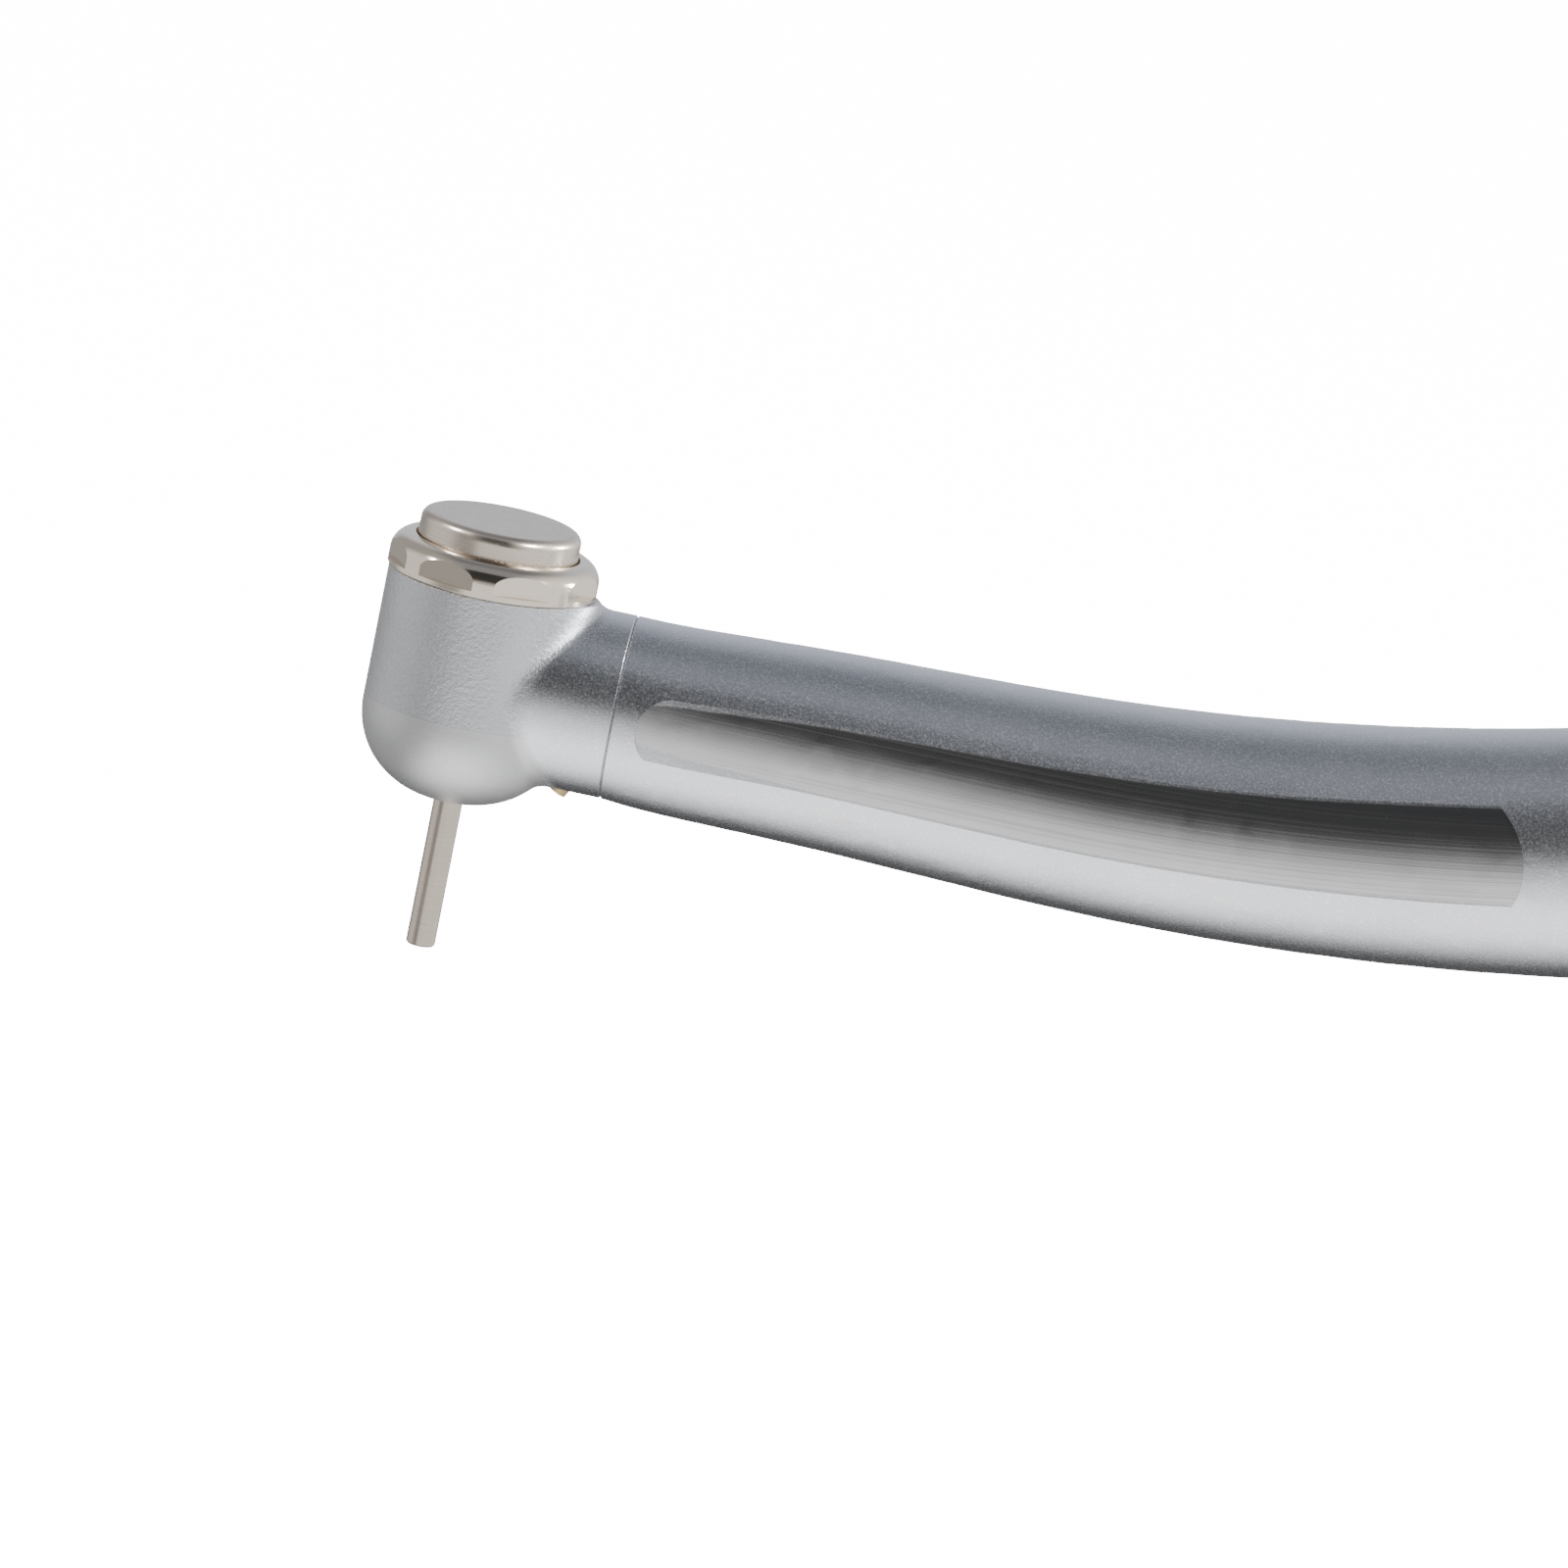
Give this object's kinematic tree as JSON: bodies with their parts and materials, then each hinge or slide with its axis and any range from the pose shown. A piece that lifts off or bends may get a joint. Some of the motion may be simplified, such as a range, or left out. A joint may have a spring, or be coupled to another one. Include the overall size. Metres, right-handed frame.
{
  "type": "high speed dental handpiece",
  "caption": "Curved air-turbine dental handpiece with a push-button chuck head, a slim round bur and a rear connector with four holes for its hose.",
  "frame": {"origin": "centre of the rear connector's end face, where the hose seats", "axes": "+Z runs along the spindle away from the bur, +X points from the head towards the hose, and XZ is the plane of symmetry"},
  "size_m": [0.1295, 0.0146, 0.0434],
  "materials": {
    "head_satin": "fine bead-blasted satin",
    "handle_satin": "fine bead-blasted satin, slightly blue-grey, with ground side facets",
    "cap_polished": "polished, warm nickel tone",
    "button_brushed": "brushed, warm stainless",
    "inner_steel": "machined",
    "spring_steel": "drawn wire",
    "ball_ceramic": "polished ceramic",
    "cage_plastic": "machined phenolic",
    "seal_rubber": "smooth black rubber",
    "impeller_aluminium": "milled",
    "bur_steel": "fine ground",
    "tube_steel": "drawn tube",
    "clip_plastic": "moulded",
    "connector_steel": "turned",
    "nozzle_brass": "turned"
  },
  "bodies": {
    "handpiece": {"head_housing": "head_satin", "handle_shell": "handle_satin", "cap_ring": "cap_polished", "cap_body": "inner_steel", "upper_outer_ring": "inner_steel", "upper_shield": "inner_steel", "upper_o_ring": "seal_rubber", "lower_outer_ring": "inner_steel", "lower_shield": "inner_steel", "lower_o_ring": "seal_rubber", "preload_washer": "inner_steel", "button_spring": "spring_steel", "neck_o_ring": "seal_rubber", "spray_nozzle": "nozzle_brass", "drive_air_tube": "tube_steel", "water_tube": "tube_steel", "chip_air_tube": "tube_steel", "tube_clip": "clip_plastic", "rear_connector": "connector_steel", "connector_o_ring": "seal_rubber"},
    "rotor": {"spindle_shaft": "inner_steel", "impeller": "impeller_aluminium", "chuck_collet": "inner_steel", "upper_inner_ring": "inner_steel", "lower_inner_ring": "inner_steel"},
    "upper_ball_set": {"upper_cage": "cage_plastic", "upper_balls": "ball_ceramic"},
    "lower_ball_set": {"lower_cage": "cage_plastic", "lower_balls": "ball_ceramic"},
    "button": {"push_button": "button_brushed", "button_pusher": "inner_steel"},
    "chuck_release": {"release_plunger": "inner_steel"},
    "bur": {"test_bur": "bur_steel"}
  },
  "joints": [
    {"name": "spindle_spin", "type": "hinge", "parent": "handpiece", "child": "rotor", "pos_m": [-0.12204, 0, -0.01766], "axis": [0, 0, -1], "continuous": true},
    {"name": "upper_cage_spin", "type": "hinge", "parent": "handpiece", "child": "upper_ball_set", "pos_m": [-0.12204, 0, -0.01766], "axis": [0, 0, -1], "continuous": true},
    {"name": "lower_cage_spin", "type": "hinge", "parent": "handpiece", "child": "lower_ball_set", "pos_m": [-0.12204, 0, -0.01766], "axis": [0, 0, -1], "continuous": true},
    {"name": "button_press", "type": "slide", "parent": "handpiece", "child": "button", "axis": [0, 0, -1], "range_m": [0, 0.00075], "stiffness_N_per_m": 4000, "springref_m": -0.0015, "deforming": ["button_spring"]},
    {"name": "plunger_press", "type": "slide", "parent": "rotor", "child": "chuck_release", "axis": [0, 0, -1], "range_m": [0, 0.00045]},
    {"name": "bur_pull", "type": "slide", "parent": "rotor", "child": "bur", "axis": [0, 0, -1], "range_m": [0, 0.012]}
  ],
  "couplings": [
    {"joint": "upper_cage_spin", "follows": "spindle_spin", "ratio": 0.39501},
    {"joint": "lower_cage_spin", "follows": "spindle_spin", "ratio": 0.39501},
    {"joint": "plunger_press", "follows": "button_press", "ratio": 0.6}
  ]
}
